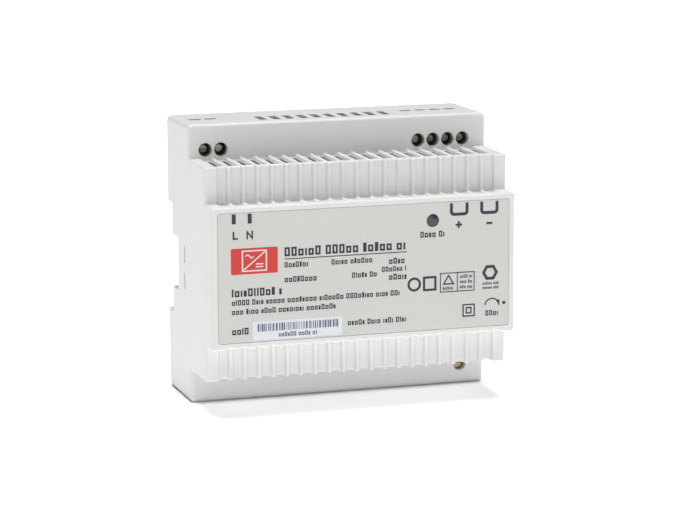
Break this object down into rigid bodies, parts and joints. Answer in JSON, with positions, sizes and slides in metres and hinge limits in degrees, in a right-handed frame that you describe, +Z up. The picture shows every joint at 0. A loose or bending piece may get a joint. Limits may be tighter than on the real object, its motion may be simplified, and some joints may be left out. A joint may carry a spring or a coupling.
{
  "type": "din rail power supply",
  "caption": "Stepped modular power supply case that clips on a 35 mm rail, with screw terminals along its top edge, a fluted waist, vents, a front label and a trimmer.",
  "frame": {"origin": "middle of the underside, halfway between the front panel and the rear face", "axes": "+X to the right along the rail, -Y out of the front panel, +Z up towards the terminals"},
  "size_m": [0.1, 0.056, 0.09],
  "materials": {
    "case_plastic": "off-white moulded plastic, fine spark-eroded texture",
    "label_film": "printed light grey label film, satin",
    "latch_plastic": "off-white moulded nylon, satin",
    "smoked_plastic": "smoked clear plastic, polished end",
    "led_epoxy": "tinted epoxy, unlit",
    "block_plastic": "dark green moulded plastic, satin",
    "zinc_steel": "zinc-plated steel, satin",
    "spring_steel": "drawn spring wire",
    "plated_brass": "brass, lightly plated",
    "aluminium_plate": "mill-finish sheet",
    "board_laminate": "tan laminate with solder mask",
    "ivory_plastic": "ivory moulded plastic",
    "blue_plastic": "blue moulded plastic",
    "black_plastic": "black moulding compound",
    "can_sleeve": "shrink sleeve over an aluminium can",
    "ferrite": "sintered ferrite, matt",
    "copper_wire": "enamelled copper wire",
    "yellow_film": "yellow capacitor case and tape",
    "fuse_glass": "clear glass with plated caps",
    "disc_ceramic": "dipped ceramic disc"
  },
  "bodies": {
    "case": {"front_housing": "case_plastic", "rear_base": "case_plastic", "front_label": "label_film", "light_pipe": "smoked_plastic", "status_led": "led_epoxy", "latch_spring": "spring_steel", "input_terminal_block": "block_plastic", "output_terminal_block": "block_plastic", "main_board": "board_laminate", "trimmer_body": "blue_plastic", "input_fuse": "fuse_glass", "inrush_thermistor": "disc_ceramic", "suppression_capacitor": "yellow_film", "line_choke_core": "ferrite", "line_choke_winding_1": "copper_wire", "line_choke_winding_2": "copper_wire", "bridge_rectifier": "black_plastic", "bulk_capacitor": "can_sleeve", "primary_heatsink": "aluminium_plate", "switching_transistor": "black_plastic", "transistor_screw": "zinc_steel", "transformer_core": "ferrite", "transformer_winding": "yellow_film", "transformer_base": "black_plastic", "secondary_heatsink": "aluminium_plate", "output_rectifier": "black_plastic", "rectifier_screw": "zinc_steel", "output_capacitor_1": "can_sleeve", "output_capacitor_2": "can_sleeve", "output_capacitor_3": "can_sleeve", "output_choke_core": "ferrite", "output_choke_winding": "copper_wire", "feedback_optocoupler": "black_plastic", "controller_chip": "black_plastic", "safety_capacitor": "disc_ceramic", "board_screw_1": "zinc_steel", "board_screw_2": "zinc_steel", "board_screw_3": "zinc_steel", "board_screw_4": "zinc_steel", "input_contact_bar_1": "plated_brass", "input_contact_bar_2": "plated_brass", "output_contact_bar_1": "plated_brass", "output_contact_bar_2": "plated_brass", "output_contact_bar_3": "plated_brass", "output_contact_bar_4": "plated_brass"},
    "latch": {"rail_latch": "latch_plastic"},
    "trimmer": {"trimmer_rotor": "ivory_plastic"},
    "input_screw_1": {"input_terminal_screw_1": "zinc_steel"},
    "input_clamp_1": {"input_clamp_cage_1": "plated_brass"},
    "input_screw_2": {"input_terminal_screw_2": "zinc_steel"},
    "input_clamp_2": {"input_clamp_cage_2": "plated_brass"},
    "output_screw_1": {"output_terminal_screw_1": "zinc_steel"},
    "output_clamp_1": {"output_clamp_cage_1": "plated_brass"},
    "output_screw_2": {"output_terminal_screw_2": "zinc_steel"},
    "output_clamp_2": {"output_clamp_cage_2": "plated_brass"},
    "output_screw_3": {"output_terminal_screw_3": "zinc_steel"},
    "output_clamp_3": {"output_clamp_cage_3": "plated_brass"},
    "output_screw_4": {"output_terminal_screw_4": "zinc_steel"},
    "output_clamp_4": {"output_clamp_cage_4": "plated_brass"}
  },
  "joints": [
    {"name": "latch_slide", "type": "slide", "parent": "case", "child": "latch", "axis": [0, 0, -1], "range_m": [0, 0.004], "stiffness_N_per_m": 400, "springref_m": -0.003, "deforming": ["latch_spring"]},
    {"name": "trimmer_turn", "type": "hinge", "parent": "case", "child": "trimmer", "pos_m": [0.0417, 0.0024, 0.0065], "axis": [0, 1, 0], "range_deg": [-130, 130]},
    {"name": "input_clamp_1_slide", "type": "slide", "parent": "case", "child": "input_clamp_1", "axis": [0, -1, 0], "range_m": [0, 0.003]},
    {"name": "input_screw_1_turn", "type": "hinge", "parent": "case", "child": "input_screw_1", "pos_m": [-0.0443, 0.0025, 0.0818], "axis": [0, 1, 0], "range_deg": [0, 2170]},
    {"name": "input_clamp_2_slide", "type": "slide", "parent": "case", "child": "input_clamp_2", "axis": [0, -1, 0], "range_m": [0, 0.003]},
    {"name": "input_screw_2_turn", "type": "hinge", "parent": "case", "child": "input_screw_2", "pos_m": [-0.03922, 0.0025, 0.0818], "axis": [0, 1, 0], "range_deg": [0, 2170]},
    {"name": "output_clamp_1_slide", "type": "slide", "parent": "case", "child": "output_clamp_1", "axis": [0, -1, 0], "range_m": [0, 0.003]},
    {"name": "output_screw_1_turn", "type": "hinge", "parent": "case", "child": "output_screw_1", "pos_m": [0.02696, 0.0025, 0.0818], "axis": [0, 1, 0], "range_deg": [0, 2170]},
    {"name": "output_clamp_2_slide", "type": "slide", "parent": "case", "child": "output_clamp_2", "axis": [0, -1, 0], "range_m": [0, 0.003]},
    {"name": "output_screw_2_turn", "type": "hinge", "parent": "case", "child": "output_screw_2", "pos_m": [0.03204, 0.0025, 0.0818], "axis": [0, 1, 0], "range_deg": [0, 2170]},
    {"name": "output_clamp_3_slide", "type": "slide", "parent": "case", "child": "output_clamp_3", "axis": [0, -1, 0], "range_m": [0, 0.003]},
    {"name": "output_screw_3_turn", "type": "hinge", "parent": "case", "child": "output_screw_3", "pos_m": [0.03712, 0.0025, 0.0818], "axis": [0, 1, 0], "range_deg": [0, 2170]},
    {"name": "output_clamp_4_slide", "type": "slide", "parent": "case", "child": "output_clamp_4", "axis": [0, -1, 0], "range_m": [0, 0.003]},
    {"name": "output_screw_4_turn", "type": "hinge", "parent": "case", "child": "output_screw_4", "pos_m": [0.0422, 0.0025, 0.0818], "axis": [0, 1, 0], "range_deg": [0, 2170]}
  ],
  "couplings": [
    {"joint": "input_screw_1_turn", "follows": "input_clamp_1_slide", "rad_per_m": 12566},
    {"joint": "input_screw_2_turn", "follows": "input_clamp_2_slide", "rad_per_m": 12566},
    {"joint": "output_screw_1_turn", "follows": "output_clamp_1_slide", "rad_per_m": 12566},
    {"joint": "output_screw_2_turn", "follows": "output_clamp_2_slide", "rad_per_m": 12566},
    {"joint": "output_screw_3_turn", "follows": "output_clamp_3_slide", "rad_per_m": 12566},
    {"joint": "output_screw_4_turn", "follows": "output_clamp_4_slide", "rad_per_m": 12566}
  ]
}
